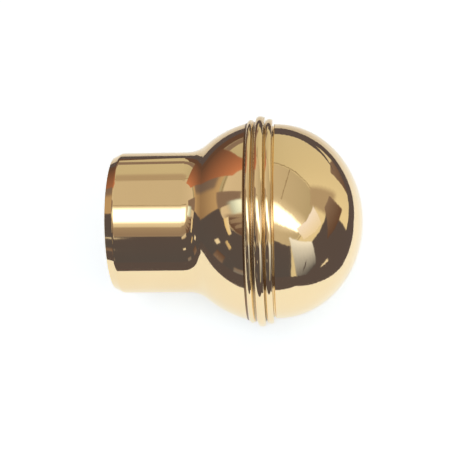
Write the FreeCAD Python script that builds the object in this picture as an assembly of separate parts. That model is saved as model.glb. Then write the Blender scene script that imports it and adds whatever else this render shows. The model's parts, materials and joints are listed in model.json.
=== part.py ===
"""Curtain pole finial: a hollow cast brass ball on a socket neck, with a band of three reeds round the ball.

One piece, round about the X axis, in millimetres. The origin is the centre of the pole stop, the face inside
the socket that the end of the pole meets. The socket opens towards -X and the dome faces +X.
"""
import FreeCAD, Part
import math
import os

from FreeCAD import Vector

# Socket that slides over the end of the pole, with a ring behind it that stops the pole
POLE_DIAMETER = 38.0
POLE_CLEARANCE = 0.2
SOCKET_DEPTH = 30.0
MOUTH_CHAMFER = 0.3
STOP_WIDTH = 3.2
STOP_THICKNESS = 3.0

# Neck round the socket, with a bevelled rim and a cove that sweeps out to the ball
NECK_WALL = 3.4
RIM_BEVEL_LENGTH = 2.7
RIM_BEVEL_DEGREES = 26.0
RIM_EDGE_ROUND = 0.3
RIM_CREASE_ROUND = 1.6
NECK_COVE = 9.0

# Ball: its round zone between the neck and the band
BALL_RADIUS = 32.4
BALL_CENTRE_BEHIND_BAND = 3.4
BALL_WALL = 3.0

# Band of reeds: how far its large bead lies from the mouth, and how far each crest stands out beyond the ball.
# The small bead is a plain round, and the two others have a wider crown with rounded shoulders.
BAND_FROM_MOUTH = 47.0
SMALL_BEAD_RISE = 0.1
SMALL_BEAD_ROUND = 1.0
LARGE_BEAD_RISE = 1.25
LARGE_BEAD_WIDTH = 2.6
LARGE_BEAD_CROWN = 1.8
LARGE_BEAD_SHOULDER = 0.5
MEDIUM_BEAD_RISE = 0.35
MEDIUM_BEAD_WIDTH = 2.1
MEDIUM_BEAD_CROWN = 1.6
MEDIUM_BEAD_SHOULDER = 0.4

# Hollows on both sides of the small bead, and the narrow grooves on both sides of the medium bead
BALL_HOLLOW = 0.5
BEAD_HOLLOW = 0.5
BEAD_HOLLOW_OFFSET = 1.25
BEAD_GROOVE_WIDTH = 0.4
BEAD_GROOVE_DEPTH = 0.9
DOME_GROOVE_WIDTH = 0.5
DOME_GROOVE_DEPTH = 0.3

# Dome beyond the band
DOME_EDGE_ROUND = 0.3
DOME_SET_BACK = 1.35
DOME_HEIGHT = 27.4

# Places and sizes that follow from the values above
SOCKET_RADIUS = POLE_DIAMETER / 2 + POLE_CLEARANCE
NECK_RADIUS = SOCKET_RADIUS + NECK_WALL
DOME_RADIUS = BALL_RADIUS - DOME_SET_BACK
MOUTH = -SOCKET_DEPTH
STOP_BACK = STOP_THICKNESS
LARGE_BEAD = MOUTH + BAND_FROM_MOUTH
LARGE_BEAD_LEFT = LARGE_BEAD - LARGE_BEAD_WIDTH / 2
LARGE_BEAD_RIGHT = LARGE_BEAD + LARGE_BEAD_WIDTH / 2
SMALL_BEAD = LARGE_BEAD_LEFT - BEAD_HOLLOW - BEAD_HOLLOW_OFFSET
MEDIUM_BEAD_LEFT = LARGE_BEAD_RIGHT + BEAD_GROOVE_WIDTH
MEDIUM_BEAD_RIGHT = MEDIUM_BEAD_LEFT + MEDIUM_BEAD_WIDTH
DOME_SIDE = MEDIUM_BEAD_RIGHT + DOME_GROOVE_WIDTH
DOME_START = DOME_SIDE + DOME_EDGE_ROUND
CROWN = DOME_START + DOME_HEIGHT
BALL_CENTRE = LARGE_BEAD + BALL_CENTRE_BEHIND_BAND

AXIS_POINT = Vector(0, 0, 0)
AXIS = Vector(1, 0, 0)


def line(start, end):
    """Straight edge between two points of the profile."""
    return Part.LineSegment(start, end).toShape()


def arc(centre, radius, start_angle, end_angle):
    """Round edge about a centre, from one angle to another."""
    middle_angle = (start_angle + end_angle) / 2
    points = []
    for angle in (start_angle, middle_angle, end_angle):
        points.append(centre + Vector(math.cos(angle), math.sin(angle), 0) * radius)
    return Part.Arc(*points).toShape()


def quarter_ellipse(start, corner, end):
    """Quarter of an ellipse that starts and ends along the two sides of its corner."""
    curve = Part.BezierCurve()
    curve.setPoles([start, corner, end])
    curve.setWeight(2, math.sqrt(0.5))
    return curve.toShape()


def direction(start, end):
    """Angle of the line from one point to another."""
    return math.atan2(end.y - start.y, end.x - start.x)


def hollow_centre(left, right, radius):
    """Centre of a hollow that touches two neighbouring rounds from outside."""
    left_centre, left_radius = left
    right_centre, right_radius = right
    left_reach = left_radius + radius
    right_reach = right_radius + radius
    span = left_centre.distanceToPoint(right_centre)
    along = (right_centre - left_centre) / span
    outward = Vector(-along.y, along.x, 0)
    foot = (left_reach ** 2 - right_reach ** 2 + span ** 2) / (2 * span)
    return left_centre + along * foot + outward * math.sqrt(left_reach ** 2 - foot ** 2)


def neck_edges(cove_centre, cove_end_angle):
    """Mouth, bevelled rim with both its edges rounded, plain neck and the cove out to the ball."""
    slope = math.radians(RIM_BEVEL_DEGREES)
    bevel_angle = math.pi / 2 + slope
    mouth_corner = NECK_RADIUS - RIM_BEVEL_LENGTH * math.tan(slope)
    edge_drop = RIM_EDGE_ROUND * math.tan((math.pi / 2 - slope) / 2)
    edge_centre = Vector(MOUTH + RIM_EDGE_ROUND, mouth_corner - edge_drop, 0)
    crease_shift = RIM_CREASE_ROUND * math.tan(slope / 2)
    crease_centre = Vector(MOUTH + RIM_BEVEL_LENGTH + crease_shift, NECK_RADIUS - RIM_CREASE_ROUND, 0)
    rim_edge = arc(edge_centre, RIM_EDGE_ROUND, math.pi, bevel_angle)
    crease = arc(crease_centre, RIM_CREASE_ROUND, bevel_angle, math.pi / 2)
    neck_end = Vector(cove_centre.x, NECK_RADIUS, 0)
    return [
        line(Vector(MOUTH, 0, 0), first_point([rim_edge])),
        rim_edge,
        line(last_point([rim_edge]), first_point([crease])),
        crease,
        line(last_point([crease]), neck_end),
        arc(cove_centre, NECK_COVE, -math.pi / 2, cove_end_angle),
    ]


def wide_bead_edges(left, right, rise, crown, shoulder):
    """Bead between two sides, with a wide crown and rounded shoulders."""
    crown_centre = Vector((left + right) / 2, BALL_RADIUS + rise - crown, 0)
    reach = (right - left) / 2 - shoulder
    shoulder_height = crown_centre.y + math.sqrt((crown - shoulder) ** 2 - reach ** 2)
    left_centre = Vector(left + shoulder, shoulder_height, 0)
    right_centre = Vector(right - shoulder, shoulder_height, 0)
    crown_start = direction(crown_centre, left_centre)
    crown_end = direction(crown_centre, right_centre)
    return [
        arc(left_centre, shoulder, math.pi, crown_start),
        arc(crown_centre, crown, crown_start, crown_end),
        arc(right_centre, shoulder, crown_end, 0),
    ]


def groove_edges(start, end, depth):
    """Narrow groove with a round floor between two upright sides, its depth measured from its right-hand side."""
    half_width = (end.x - start.x) / 2
    floor_centre = Vector(start.x + half_width, end.y - depth + half_width, 0)
    return [
        line(start, Vector(start.x, floor_centre.y, 0)),
        arc(floor_centre, half_width, math.pi, 2 * math.pi),
        line(Vector(end.x, floor_centre.y, 0), end),
    ]


def left_band_edges(ball_start_angle, large_bead_side):
    """Ball zone, its hollow, the small bead and the hollow that climbs to the side of the large bead."""
    ball = (Vector(BALL_CENTRE, 0, 0), BALL_RADIUS)
    bead_centre = Vector(SMALL_BEAD, BALL_RADIUS + SMALL_BEAD_RISE - SMALL_BEAD_ROUND, 0)
    ball_hollow = hollow_centre(ball, (bead_centre, SMALL_BEAD_ROUND), BALL_HOLLOW)
    hollow_rise = math.sqrt((SMALL_BEAD_ROUND + BEAD_HOLLOW) ** 2 - BEAD_HOLLOW_OFFSET ** 2)
    bead_hollow = bead_centre + Vector(BEAD_HOLLOW_OFFSET, hollow_rise, 0)
    ball_end = direction(ball[0], ball_hollow)
    bead_start = direction(bead_centre, ball_hollow)
    bead_end = direction(bead_centre, bead_hollow)
    return [
        arc(ball[0], BALL_RADIUS, ball_start_angle, ball_end),
        arc(ball_hollow, BALL_HOLLOW, ball_end - math.pi, bead_start - math.pi),
        arc(bead_centre, SMALL_BEAD_ROUND, bead_start, bead_end),
        arc(bead_hollow, BEAD_HOLLOW, bead_end - math.pi, 0),
        line(bead_hollow + Vector(BEAD_HOLLOW, 0, 0), large_bead_side),
    ]


def first_point(edges):
    """Where a run of edges starts."""
    return edges[0].Vertexes[0].Point


def last_point(edges):
    """Where a run of edges ends."""
    return edges[-1].Vertexes[-1].Point


def dome_edges():
    """Rounded edge of the dome, and the dome to its crown."""
    edge_centre = Vector(DOME_START, DOME_RADIUS - DOME_EDGE_ROUND, 0)
    dome_start = Vector(DOME_START, DOME_RADIUS, 0)
    crown = Vector(CROWN, 0, 0)
    return [
        arc(edge_centre, DOME_EDGE_ROUND, math.pi, math.pi / 2),
        quarter_ellipse(dome_start, Vector(CROWN, DOME_RADIUS, 0), crown),
        line(crown, Vector(MOUTH, 0, 0)),
    ]


def turned(edges):
    """Solid made by turning a closed profile about the axis."""
    return Part.Face(Part.Wire(edges)).revolve(AXIS_POINT, AXIS, 360)


def outer_form():
    """The whole finial as a solid, without its hollow."""
    ball_centre = Vector(BALL_CENTRE, 0, 0)
    cove_height = NECK_RADIUS + NECK_COVE
    cove_reach = math.sqrt((BALL_RADIUS + NECK_COVE) ** 2 - cove_height ** 2)
    cove_centre = Vector(BALL_CENTRE - cove_reach, cove_height, 0)
    ball_start_angle = direction(ball_centre, cove_centre)
    large_bead = wide_bead_edges(
        LARGE_BEAD_LEFT, LARGE_BEAD_RIGHT, LARGE_BEAD_RISE, LARGE_BEAD_CROWN, LARGE_BEAD_SHOULDER
    )
    medium_bead = wide_bead_edges(
        MEDIUM_BEAD_LEFT, MEDIUM_BEAD_RIGHT, MEDIUM_BEAD_RISE, MEDIUM_BEAD_CROWN, MEDIUM_BEAD_SHOULDER
    )
    dome = dome_edges()
    edges = neck_edges(cove_centre, ball_start_angle - math.pi)
    edges += left_band_edges(ball_start_angle, first_point(large_bead))
    edges += large_bead
    edges += groove_edges(last_point(large_bead), first_point(medium_bead), BEAD_GROOVE_DEPTH)
    edges += medium_bead
    edges += groove_edges(last_point(medium_bead), first_point(dome), DOME_GROOVE_DEPTH)
    edges += dome
    return turned(edges)


def rod(start, end, radius):
    """Cylinder along the axis between two places."""
    return Part.makeCylinder(radius, end - start, Vector(start, 0, 0), AXIS)


def socket():
    """Bore for the pole, with a chamfer that leads it in, and the hole through the pole stop."""
    lead_in = Part.makeCone(
        SOCKET_RADIUS + MOUTH_CHAMFER, SOCKET_RADIUS, MOUTH_CHAMFER, Vector(MOUTH, 0, 0), AXIS
    )
    bore = rod(MOUTH, 0, SOCKET_RADIUS)
    stop_hole = rod(MOUTH, BALL_CENTRE, SOCKET_RADIUS - STOP_WIDTH)
    return [lead_in, bore, stop_hole]


def cavity():
    """Hollow of the ball behind the pole stop, with a plain belt inside the band."""
    inner_radius = BALL_RADIUS - BALL_WALL
    belt_radius = DOME_RADIUS - BALL_WALL
    belt_start = BALL_CENTRE - math.sqrt(inner_radius ** 2 - belt_radius ** 2)
    ball_centre = Vector(BALL_CENTRE, 0, 0)
    belt_left = Vector(belt_start, belt_radius, 0)
    belt_right = Vector(DOME_START, belt_radius, 0)
    inner_crown = Vector(CROWN - BALL_WALL, 0, 0)
    hollow = turned([
        arc(ball_centre, inner_radius, math.pi, direction(ball_centre, belt_left)),
        line(belt_left, belt_right),
        quarter_ellipse(belt_right, Vector(inner_crown.x, belt_radius, 0), inner_crown),
        line(inner_crown, Vector(BALL_CENTRE - inner_radius, 0, 0)),
    ])
    return hollow.common(rod(STOP_BACK, CROWN, BALL_RADIUS))


def ball_finial():
    """The finished finial."""
    return outer_form().cut(socket() + [cavity()])


os.makedirs("parts", exist_ok=True)
finial = ball_finial()
print("valid:", finial.isValid(), "solids:", len(finial.Solids), "volume mm3:", round(finial.Volume))
finial.Solids[0].exportStep("parts/ball_finial.step")
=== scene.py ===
"""Polished brass curtain pole finial on a white sheet, in metres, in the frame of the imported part."""
import json
import math

import bpy
from mathutils import Matrix, Vector


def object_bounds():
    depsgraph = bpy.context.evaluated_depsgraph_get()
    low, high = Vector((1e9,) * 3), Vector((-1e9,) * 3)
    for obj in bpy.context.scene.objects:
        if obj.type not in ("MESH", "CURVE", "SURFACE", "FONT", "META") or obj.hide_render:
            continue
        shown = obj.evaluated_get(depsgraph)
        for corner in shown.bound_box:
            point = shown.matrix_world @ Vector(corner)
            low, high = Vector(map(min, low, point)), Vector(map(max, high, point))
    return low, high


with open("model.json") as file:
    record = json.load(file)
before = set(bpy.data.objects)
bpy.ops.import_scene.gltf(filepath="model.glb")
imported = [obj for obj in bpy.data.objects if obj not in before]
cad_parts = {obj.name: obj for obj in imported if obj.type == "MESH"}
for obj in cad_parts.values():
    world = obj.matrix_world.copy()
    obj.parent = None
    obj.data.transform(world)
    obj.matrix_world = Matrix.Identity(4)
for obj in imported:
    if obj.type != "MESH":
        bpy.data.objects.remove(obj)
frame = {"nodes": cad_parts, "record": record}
cad_low, cad_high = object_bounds()

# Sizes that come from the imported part
finial = frame["nodes"]["ball_finial"]
AXIS = Vector((1, 0, 0))
FLOOR = cad_low.z
SOCKET_RADIUS = frame["record"]["mounts"][0]["dims"]["r_mm"] / 1000
BAND_CREST = max(finial.data.vertices, key=lambda vertex: vertex.co.yz.length).co
BAND_RADIUS = BAND_CREST.yz.length

# Zones of the brass: darker grooves on the neck's side of the band's crest, and a margin to the socket
GROOVES_LENGTH = 0.0045
GROOVE_EDGE_DEPTH = 0.0015
GROOVE_FLOOR_DEPTH = 0.0020
SOCKET_MARGIN = 0.0002

# Colours of the brass: polished, darker in the grooves, machined in the socket, as cast in the hollow
POLISHED = (0.90, 0.72, 0.44)
POLISHED_SHADE = (0.87, 0.68, 0.40)
GROOVE_DARK = (0.24, 0.14, 0.07)
MACHINED = (0.78, 0.60, 0.34)
AS_CAST = (0.50, 0.36, 0.19)

# Roughness of the polished brass, from clear to cloudy, and what the other zones add to it
POLISHED_ROUGHNESS = (0.04, 0.07)
GROOVE_ROUGHNESS = 0.30
MACHINED_ROUGHNESS = 0.26
AS_CAST_ROUGHNESS = 0.50

# Fine relief of the brass: clouds in the polish, gentle waves, marks of turning and the sand of the casting
CLOUD_SCALE = 70
CLOUD_DETAIL = 4
CLOUD_RANGE = (0.3, 0.7)
WAVE_SCALE = 60
WAVE_DETAIL = 1
WAVE_DEPTH = 0.000012
MARK_SCALE = 1500
MARK_DETAIL = 2
MARK_DEPTH = 0.0000012
SAND_SCALE = 900
SAND_DETAIL = 3
SAND_DEPTH = 0.0002

# Camera: it looks down on the finial, with the dome a little nearer than the socket
CAMERA_LENS = 80.0
CAMERA_CLIP = 0.01
CAMERA_DISTANCE = 0.32
CAMERA_ELEVATION = math.radians(62.5)
CAMERA_YAW = math.radians(4.4)
CAMERA_ROLL = math.radians(0.62)
AIM = Vector((0.01774, 0, 0))
AIM_RIGHT_OF_CENTRE = 0.01264
AIM_ABOVE_CENTRE = 0.00107

# White sheet, with its paper lifted to white for the camera and, towards its front, in the metal; the lift
# in the metal fades to none at the back, a painted shade on the far paper
SHEET_OUTLINE = [
    (-0.60, -0.06), (-0.03, -0.130), (0.072, -0.134), (0.084, -0.066), (0.084, -0.028), (0.111, 0.016),
    (0.112, 0.090), (0.088, 0.152), (0.060, 0.166), (-0.04, 0.135), (-0.60, 0.10),
]
PAPER = (0.9, 0.9, 0.9)
PAPER_LIFT = (0.76, 0.91, 1.05)
PAPER_LIFT_SEEN = 0.55
PAPER_LIFT_MIRRORED = 0.50
PAPER_LIFT_END = 0.160

# Dark desk under the sheet with a side table, in a plain room
DESK_LOW = (-0.90, -0.90)
DESK_HIGH = (0.168, 0.28)
DESK_DROP = 0.001
SIDE_TABLE_LOW = (0.01, 0.28)
SIDE_TABLE_HIGH = (0.36, 0.75)
ROOM_TURN = math.radians(-22)
ROOM_LOW = (-1.3, -1.3)
ROOM_HIGH = (1.3, 0.81)
ROOM_FLOOR = -0.6
ROOM_CEILING = 1.0
CORNICE_LOW = 0.92
CORNICE_HIGH = 0.96

# Soft boxes under the ceiling, their halo on it, and thin beams. Soft edges are shares of length and width.
SOFT_BOX_HEIGHT = 0.95
SOFT_BOX_FAR_EDGE = [(-0.50, 0.025), (0.02, -0.05), (1.10, -0.70)]
SOFT_BOX_NEAR_EDGE = [(-0.50, -0.505), (0.02, -0.56), (0.98, -0.92)]
SOFT_BOX_SOFT_EDGES = (0.15, 0.25)
SOFT_BOX_STRENGTH = 2.6
HALO_HEIGHT = 0.955
HALO_FAR_EDGE = [(-0.45, 0.03), (0.02, 0.10), (1.10, -0.38)]
HALO_NEAR_EDGE = [(-0.45, -0.78), (0.02, -0.78), (0.88, -0.97)]
HALO_SOFT_EDGES = (0.07, 0.40)
BEAM_ENDS = [
    ((-0.45, 0.05), (0.02, -0.02)),
    ((0.15, -0.04), (0.40, 0.69)),
    ((-1.25, 0.08), (-0.62, 0.125)),
]
BEAM_WIDTH = 0.02
BEAM_HEIGHT = 0.96

# Cards: distance of the nearest from the finial, gap to the next, steps along a card, soft edges in degrees
CARD_DISTANCE = 0.56
CARD_GAP = 0.008
CARD_STEPS = 8
CARD_SOFT_EDGE = 2.0
CARD_SOFTER_EDGE = 7.0
SOFTER_CARDS = ("window_left", "brown_left", "panel_far", "brown_far", "shade_right")

# Colours of the stage
DARK = (0.115, 0.098, 0.119)
BROWN = (0.28, 0.21, 0.19)
TAN = (0.50, 0.41, 0.32)
RUST = (0.14, 0.08, 0.065)
ORANGE = (0.66, 0.27, 0.16)
AMBER = (0.62, 0.46, 0.30)
GREY = (0.25, 0.28, 0.34)
SLATE = (0.10, 0.098, 0.125)
OLIVE = (0.36, 0.42, 0.44)
CREAM = (0.95, 0.88, 0.76)
YELLOW = (0.90, 0.72, 0.40)
PALE = (1.05, 1.12, 1.28)
LINEN = (1.05, 1.05, 1.25)
WHITE = (1.0, 1.0, 1.0)
WINDOW = (1.4, 1.65, 1.75)
BOARDS = (0.82, 0.78, 0.62)
WALL_LEFT = (0.42, 0.385, 0.29)
WALL_RIGHT = (0.92, 0.84, 0.64)
CORNICE = (0.36, 0.29, 0.20)
CEILING_LEFT = (0.81, 0.71, 0.60)
CEILING_RIGHT = (0.50, 0.445, 0.33)

# Cards round the desk, the nearest first: name, azimuth and elevation of the four corners in degrees, and
# the colours at the bottom and the top of the card. The corners go along the bottom and back along the top.
# Azimuth 0 lies at +X and 90 at +Y.
CARDS = [
    ("slat_left", [(-164, 35), (-143, 29), (-141, 33), (-162, 42)], YELLOW, CREAM),
    ("note_left", [(-155, 12), (-149, 11), (-146, 17), (-152, 19)], CREAM, CREAM),
    ("box_left", [(-149, -2), (-136, -3), (-135, 8), (-147, 9)], BROWN, RUST),
    ("shelf_left", [(-144, 21), (-134, 16), (-133, 21), (-143, 25)], TAN, YELLOW),
    ("bowl_left", [(-125, -6), (-114, -6), (-112, 3), (-126, 3)], GREY, BROWN),
    ("lamp_left", [(-112, 16), (-104, 16), (-104, 21), (-112, 21)], CREAM, CREAM),
    ("lamp_high", [(-122, 34), (-105, 34), (-104, 39), (-120, 41)], TAN, CREAM),
    ("window_left", [(-184, 40), (-160, 42), (-148, 61), (-184, 61)], OLIVE, WINDOW),
    ("cabinet_left", [(-198, 29), (-176, 31), (-176, 58), (-197, 58)], BROWN, BROWN),
    ("note_right", [(-39, -21), (-26, -19), (-26, -11), (-37, -13)], CREAM, CREAM),
    ("pale_right", [(-44, 27), (-13, 18), (-1, 36), (-46, 44)], CREAM, LINEN),
    ("brown_right", [(-20, 3), (13, -8), (16, 14), (3, 21)], RUST, BROWN),
    ("grey_right", [(-66, -15), (-40, -6), (-34, 19), (-64, 42)], SLATE, PALE),
    ("clutter_far", [(25, -21), (54, -21), (46, -6), (37, 3)], RUST, BROWN),
    ("dark_right", [(-66, -17), (5, -22), (3, 17), (-45, 20)], DARK, DARK),
    ("dark_front", [(-91, -15), (-73, -15), (-63, 31), (-91, 44)], SLATE, DARK),
    ("dark_left", [(-179, -15), (-88, -15), (-88, 42), (-179, 34)], SLATE, DARK),
    ("rack_left", [(-164, 36), (-122, 36), (-124, 50), (-152, 52)], RUST, BROWN),
    ("brown_left", [(-172, 33), (-85, 33), (-85, 60), (-150, 58)], BROWN, TAN),
    ("orange_left", [(119, -3), (154, -3), (142, 42), (119, 48)], RUST, ORANGE),
    ("panel_far", [(90, 29), (115, 29), (115, 48), (90, 48)], TAN, TAN),
    ("brown_far", [(140, -8), (163, -8), (161, 30), (130, 30)], DARK, BROWN),
    ("shade_far", [(92, 0), (121, 2), (121, 13), (92, 8)], BROWN, BROWN),
    ("rust_left", [(92, -16), (150, -16), (150, 5), (106, 2)], RUST, RUST),
    ("gold_left", [(140, -10), (184, -10), (184, 34), (140, 34)], RUST, AMBER),
    ("shade_right", [(-6, 14), (24, -4), (26, 42), (-6, 42)], TAN, TAN),
]

# Places of the mix node's colour sockets, which share their names with those for numbers and vectors
MIX_FIRST_COLOUR = 6
MIX_SECOND_COLOUR = 7
MIX_RESULT_COLOUR = 2


def make_camera():
    """Camera at the angle of the photograph, with a plain lens and no shift."""
    data = bpy.data.cameras.new("camera")
    data.lens = CAMERA_LENS
    data.clip_start = CAMERA_CLIP
    camera = bpy.data.objects.new("camera", data)
    bpy.context.scene.collection.objects.link(camera)
    back = Vector((
        math.sin(CAMERA_YAW),
        -math.cos(CAMERA_YAW) * math.cos(CAMERA_ELEVATION),
        math.cos(CAMERA_YAW) * math.sin(CAMERA_ELEVATION),
    ))
    across = (AXIS - back * AXIS.dot(back)).normalized()
    upward = back.cross(across)
    right = across * math.cos(CAMERA_ROLL) - upward * math.sin(CAMERA_ROLL)
    up = across * math.sin(CAMERA_ROLL) + upward * math.cos(CAMERA_ROLL)
    place = AIM - right * AIM_RIGHT_OF_CENTRE - up * AIM_ABOVE_CENTRE + back * CAMERA_DISTANCE
    turn = Matrix((right, up, back)).transposed().to_4x4()
    camera.matrix_world = Matrix.Translation(place) @ turn
    bpy.context.scene.camera = camera


def new_material(name):
    """Empty node material, with its node tree and output node."""
    material = bpy.data.materials.new(name)
    material.use_nodes = True
    tree = material.node_tree
    tree.nodes.clear()
    output = tree.nodes.new("ShaderNodeOutputMaterial")
    return material, tree, output


def feed(tree, value, socket):
    """Puts a number, a colour or another node's output into a socket."""
    if isinstance(value, bpy.types.NodeSocket):
        tree.links.new(value, socket)
    elif isinstance(value, tuple):
        socket.default_value = (*value, 1)
    else:
        socket.default_value = value


def calc(tree, operation, *values):
    """Output of a math node."""
    node = tree.nodes.new("ShaderNodeMath")
    node.operation = operation
    for value, socket in zip(values, node.inputs):
        feed(tree, value, socket)
    return node.outputs["Value"]


def ramp(tree, value, start, end, start_result=0.0, end_result=1.0):
    """Smooth step from one result to another."""
    node = tree.nodes.new("ShaderNodeMapRange")
    node.interpolation_type = "SMOOTHSTEP"
    for number, socket in zip((value, start, end, start_result, end_result), node.inputs):
        feed(tree, number, socket)
    return node.outputs["Result"]


def blend_colours(tree, share, first, second):
    """Colour that goes from the first to the second as the share rises."""
    node = tree.nodes.new("ShaderNodeMix")
    node.data_type = "RGBA"
    feed(tree, share, node.inputs["Factor"])
    feed(tree, first, node.inputs[MIX_FIRST_COLOUR])
    feed(tree, second, node.inputs[MIX_SECOND_COLOUR])
    return node.outputs[MIX_RESULT_COLOUR]


def coordinates(tree, kind):
    """X, Y and Z of the object, generated or UV coordinates."""
    source = tree.nodes.new("ShaderNodeTexCoord")
    parts = tree.nodes.new("ShaderNodeSeparateXYZ")
    tree.links.new(source.outputs[kind], parts.inputs["Vector"])
    return parts.outputs


def noise(tree, place, scale, detail):
    """Cloudy noise at a place."""
    node = tree.nodes.new("ShaderNodeTexNoise")
    node.inputs["Scale"].default_value = scale
    node.inputs["Detail"].default_value = detail
    tree.links.new(place, node.inputs["Vector"])
    return node.outputs["Fac"]


def noise_along(tree, x, scale, detail):
    """Noise that changes along one axis only."""
    node = tree.nodes.new("ShaderNodeTexNoise")
    node.noise_dimensions = "1D"
    node.inputs["Scale"].default_value = scale
    node.inputs["Detail"].default_value = detail
    tree.links.new(x, node.inputs["W"])
    return node.outputs["Fac"]


def bump(tree, height, distance, normal=None):
    """Normal tilted by a height field of the given depth."""
    node = tree.nodes.new("ShaderNodeBump")
    node.inputs["Distance"].default_value = distance
    tree.links.new(height, node.inputs["Height"])
    if normal:
        tree.links.new(normal, node.inputs["Normal"])
    return node.outputs["Normal"]


def groove_share(tree, x, radius):
    """Share of the darker groove colour, which rises from the edges of the grooves to their floor."""
    depth = ramp(tree, radius, BAND_RADIUS - GROOVE_EDGE_DEPTH, BAND_RADIUS - GROOVE_FLOOR_DEPTH)
    beyond_start = calc(tree, "GREATER_THAN", x, BAND_CREST.x - GROOVES_LENGTH)
    before_end = calc(tree, "LESS_THAN", x, BAND_CREST.x)
    return calc(tree, "MULTIPLY", depth, calc(tree, "MULTIPLY", beyond_start, before_end))


def socket_share(tree, x, radius):
    """Share of machined metal: all of it within the bore and before the pole stop."""
    before_stop = calc(tree, "LESS_THAN", x, SOCKET_MARGIN)
    within_bore = calc(tree, "LESS_THAN", radius, SOCKET_RADIUS + SOCKET_MARGIN)
    return calc(tree, "MULTIPLY", before_stop, within_bore)


def hollow_share(tree, place, x):
    """Share of cast metal: all of it behind the pole stop, where the surface faces into the ball."""
    surface = tree.nodes.new("ShaderNodeNewGeometry")
    from_middle = tree.nodes.new("ShaderNodeVectorMath")
    from_middle.operation = "SUBTRACT"
    tree.links.new(place, from_middle.inputs[0])
    from_middle.inputs[1].default_value = (BAND_CREST.x, 0, 0)
    facing = tree.nodes.new("ShaderNodeVectorMath")
    facing.operation = "DOT_PRODUCT"
    tree.links.new(surface.outputs["Normal"], facing.inputs[0])
    tree.links.new(from_middle.outputs["Vector"], facing.inputs[1])
    inward = calc(tree, "LESS_THAN", facing.outputs["Value"], 0.0)
    behind_stop = calc(tree, "GREATER_THAN", x, SOCKET_MARGIN)
    return calc(tree, "MULTIPLY", inward, behind_stop)


def brass_relief(tree, place, x, hollow):
    """Normal of the brass: gentle waves, fine marks of turning, and sand in the hollow."""
    waves = bump(tree, noise(tree, place, WAVE_SCALE, WAVE_DETAIL), WAVE_DEPTH)
    marks = bump(tree, noise_along(tree, x, MARK_SCALE, MARK_DETAIL), MARK_DEPTH, waves)
    sand = calc(tree, "MULTIPLY", noise(tree, place, SAND_SCALE, SAND_DETAIL), hollow)
    return bump(tree, sand, SAND_DEPTH, marks)


def polished_brass():
    """Mirror-polished brass, darker and rougher in the grooves, machined in the socket and as cast in the
    hollow.
    """
    material, tree, output = new_material("polished_brass")
    place = tree.nodes.new("ShaderNodeTexCoord").outputs["Object"]
    x, y, z = coordinates(tree, "Object")
    y_squared = calc(tree, "MULTIPLY", y, y)
    z_squared = calc(tree, "MULTIPLY", z, z)
    radius = calc(tree, "SQRT", calc(tree, "ADD", y_squared, z_squared))
    groove = groove_share(tree, x, radius)
    socket = socket_share(tree, x, radius)
    hollow = hollow_share(tree, place, x)

    cloud = noise(tree, place, CLOUD_SCALE, CLOUD_DETAIL)
    colour = blend_colours(tree, cloud, POLISHED_SHADE, POLISHED)
    # Darker colour in the grooves, deepening from their edges to their floor
    colour = blend_colours(tree, groove, colour, GROOVE_DARK)
    colour = blend_colours(tree, socket, colour, MACHINED)
    colour = blend_colours(tree, hollow, colour, AS_CAST)

    roughness = ramp(tree, cloud, *CLOUD_RANGE, *POLISHED_ROUGHNESS)
    roughness = calc(tree, "MULTIPLY_ADD", groove, GROOVE_ROUGHNESS, roughness)
    roughness = calc(tree, "MULTIPLY_ADD", socket, MACHINED_ROUGHNESS, roughness)
    roughness = calc(tree, "MULTIPLY_ADD", hollow, AS_CAST_ROUGHNESS, roughness)

    shader = tree.nodes.new("ShaderNodeBsdfPrincipled")
    shader.inputs["Metallic"].default_value = 1.0
    tree.links.new(colour, shader.inputs["Base Color"])
    tree.links.new(roughness, shader.inputs["Roughness"])
    tree.links.new(brass_relief(tree, place, x, hollow), shader.inputs["Normal"])
    tree.links.new(shader.outputs["BSDF"], output.inputs["Surface"])
    return material


def glow(name, colour):
    """Stage material in one colour."""
    material, tree, output = new_material(name)
    shader = tree.nodes.new("ShaderNodeEmission")
    feed(tree, colour, shader.inputs["Color"])
    tree.links.new(shader.outputs["Emission"], output.inputs["Surface"])
    return material


def sideways_glow(name, left, right):
    """Stage material that shades from one colour on the left to another on the right."""
    material, tree, output = new_material(name)
    across = coordinates(tree, "Generated")["X"]
    shader = tree.nodes.new("ShaderNodeEmission")
    tree.links.new(blend_colours(tree, across, left, right), shader.inputs["Color"])
    tree.links.new(shader.outputs["Emission"], output.inputs["Surface"])
    return material


def soft_glow(name, low, high, edges, strength=1.0):
    """Stage material of a strip: shades from its lower to its upper row, and fades out at its edges."""
    material, tree, output = new_material(name)
    across, upward, _ = coordinates(tree, "UV")
    fades = []
    for place, edge in zip((across, upward), edges):
        from_edge = calc(tree, "MINIMUM", place, calc(tree, "SUBTRACT", 1.0, place))
        fades.append(ramp(tree, from_edge, 0.0, edge))
    colour = low if low == high else blend_colours(tree, upward, low, high)
    shader = tree.nodes.new("ShaderNodeEmission")
    shader.inputs["Strength"].default_value = strength
    feed(tree, colour, shader.inputs["Color"])
    clear = tree.nodes.new("ShaderNodeBsdfTransparent")
    both = tree.nodes.new("ShaderNodeMixShader")
    tree.links.new(calc(tree, "MULTIPLY", *fades), both.inputs["Fac"])
    tree.links.new(clear.outputs["BSDF"], both.inputs[1])
    tree.links.new(shader.outputs["Emission"], both.inputs[2])
    tree.links.new(both.outputs["Shader"], output.inputs["Surface"])
    return material


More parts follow.
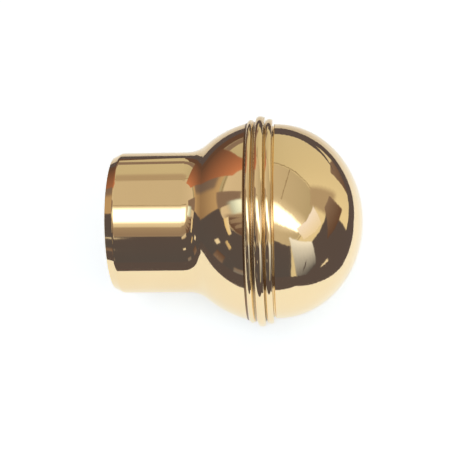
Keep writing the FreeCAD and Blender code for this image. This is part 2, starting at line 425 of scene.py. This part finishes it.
def white_paper():
    """Paper that shows white to the camera and, with painted shade towards its back, in the metal, and
    keeps the shadow of the finial.
    """
    material, tree, output = new_material("white_paper")
    backward = coordinates(tree, "Object")["Y"]
    # The glow seen in the metal fades out towards the back of the sheet: painted shade on the far paper
    in_metal = ramp(tree, backward, 0.0, PAPER_LIFT_END, PAPER_LIFT_MIRRORED, 0.0)
    path = tree.nodes.new("ShaderNodeLightPath")
    mirrored = calc(tree, "ADD", path.outputs["Is Glossy Ray"], path.outputs["Is Transmission Ray"])
    seen = calc(tree, "MULTIPLY", path.outputs["Is Camera Ray"], PAPER_LIFT_SEEN)
    lift = tree.nodes.new("ShaderNodeEmission")
    feed(tree, PAPER_LIFT, lift.inputs["Color"])
    tree.links.new(calc(tree, "MULTIPLY_ADD", mirrored, in_metal, seen), lift.inputs["Strength"])
    paper = tree.nodes.new("ShaderNodeBsdfDiffuse")
    feed(tree, PAPER, paper.inputs["Color"])
    both = tree.nodes.new("ShaderNodeAddShader")
    tree.links.new(paper.outputs["BSDF"], both.inputs[0])
    tree.links.new(lift.outputs["Emission"], both.inputs[1])
    tree.links.new(both.outputs["Shader"], output.inputs["Surface"])
    return material


def stage_mesh(name, points, faces, material):
    """Stage piece that lights the finial and shows in it, out of the camera's sight."""
    mesh = bpy.data.meshes.new(name)
    mesh.from_pydata(points, [], faces)
    mesh.materials.append(material)
    piece = bpy.data.objects.new(name, mesh)
    bpy.context.scene.collection.objects.link(piece)
    piece.visible_camera = False
    return piece


def stage_strip(name, lower, upper, material):
    """Stage piece between two rows of points, with its width and height as texture coordinates."""
    count = len(lower)
    faces = [(i, i + 1, count + i + 1, count + i) for i in range(count - 1)]
    piece = stage_mesh(name, lower + upper, faces, material)
    layer = piece.data.uv_layers.new(name="strip")
    for loop in piece.data.loops:
        row, column = divmod(loop.vertex_index, count)
        layer.data[loop.index].uv = (column / (count - 1), row)


def at_height(places, height):
    """Points at one height over places on the ground."""
    return [Vector((*place, height)) for place in places]


def level_rectangle(low, high, height):
    """Corners of a level rectangle."""
    return at_height([low, (high[0], low[1]), high, (low[0], high[1])], height)


def make_sheet():
    """The sheet under the finial, the one stage piece that the camera sees."""
    points = at_height(SHEET_OUTLINE, FLOOR)
    sheet = stage_mesh("sheet", points, [range(len(points))], white_paper())
    sheet.visible_camera = True


def make_desk():
    """Dark desk under the sheet, with a side table behind it."""
    points = level_rectangle(DESK_LOW, DESK_HIGH, FLOOR - DESK_DROP)
    points += level_rectangle(SIDE_TABLE_LOW, SIDE_TABLE_HIGH, FLOOR - DESK_DROP)
    stage_mesh("desk", points, [(0, 1, 2, 3), (4, 5, 6, 7)], glow("desk", DARK))


def make_room():
    """Plain room round the desk, with a cornice, and with walls that get lighter to the right."""
    turn = Matrix.Rotation(ROOM_TURN, 3, "Z")
    rows = []
    for height in (ROOM_FLOOR, CORNICE_LOW, CORNICE_HIGH, ROOM_CEILING):
        corners = [turn @ corner for corner in level_rectangle(ROOM_LOW, ROOM_HIGH, height)]
        rows.append(corners + corners[:1])
    wall = sideways_glow("wall", WALL_LEFT, WALL_RIGHT)
    ceiling = sideways_glow("ceiling", CEILING_LEFT, CEILING_RIGHT)
    stage_mesh("room_floor", rows[0][:4], [(0, 1, 2, 3)], glow("room_floor", BOARDS))
    stage_strip("walls", rows[0], rows[1], wall)
    stage_strip("cornice", rows[1], rows[2], glow("cornice", CORNICE))
    stage_strip("frieze", rows[2], rows[3], wall)
    stage_mesh("ceiling", rows[3][:4], [(0, 1, 2, 3)], ceiling)


def overhead_strip(name, near_edge, far_edge, height, material):
    """Level strip over the finial, between an edge on the camera's side and one on the far side."""
    stage_strip(name, at_height(near_edge, height), at_height(far_edge, height), material)


def make_soft_boxes():
    """Two soft boxes side by side under the ceiling, and their halo on the ceiling."""
    light = soft_glow("soft_boxes", WHITE, WHITE, SOFT_BOX_SOFT_EDGES, SOFT_BOX_STRENGTH)
    overhead_strip("soft_boxes", SOFT_BOX_NEAR_EDGE, SOFT_BOX_FAR_EDGE, SOFT_BOX_HEIGHT, light)
    halo = soft_glow("halo", CREAM, CREAM, HALO_SOFT_EDGES)
    overhead_strip("halo", HALO_NEAR_EDGE, HALO_FAR_EDGE, HALO_HEIGHT, halo)


def make_beams():
    """Thin beams under the ceiling."""
    timber = glow("beams", CORNICE)
    for ends in BEAM_ENDS:
        start, end = at_height(ends, BEAM_HEIGHT)
        across = (end - start).cross(Vector((0, 0, 1))).normalized() * BEAM_WIDTH
        stage_strip("beam", [start, end], [start + across, end + across], timber)


def card_row(start, end, distance):
    """Points at one distance from the finial, on the way from one direction to another."""
    points = []
    for step in range(CARD_STEPS + 1):
        share = step / CARD_STEPS
        azimuth = math.radians(start[0] + (end[0] - start[0]) * share)
        elevation = math.radians(start[1] + (end[1] - start[1]) * share)
        points.append(Vector((math.cos(azimuth), math.sin(azimuth), math.tan(elevation))) * distance)
    return points


def make_card(name, corners, low, high, distance):
    """Curved card whose corners lie in the given directions as seen from the finial."""
    soft_edge = CARD_SOFTER_EDGE if name in SOFTER_CARDS else CARD_SOFT_EDGE
    edges = []
    for angles in zip(*corners):
        edges.append(soft_edge / (max(angles) - min(angles)))
    lower = card_row(corners[0], corners[1], distance)
    upper = card_row(corners[3], corners[2], distance)
    stage_strip(name, lower, upper, soft_glow(name, low, high, edges))


def make_world():
    """White world behind the sheet."""
    world = bpy.data.worlds.new("white")
    world.use_nodes = True
    background = world.node_tree.nodes["Background"]
    background.inputs["Color"].default_value = (*WHITE, 1)
    background.inputs["Strength"].default_value = 1.0
    bpy.context.scene.world = world


finial.data.materials[0] = polished_brass()
make_sheet()
make_desk()
make_room()
make_soft_boxes()
make_beams()
for index, card in enumerate(CARDS):
    make_card(*card, CARD_DISTANCE + CARD_GAP * index)
make_world()
make_camera()
bpy.context.scene.view_settings.view_transform = "Standard"
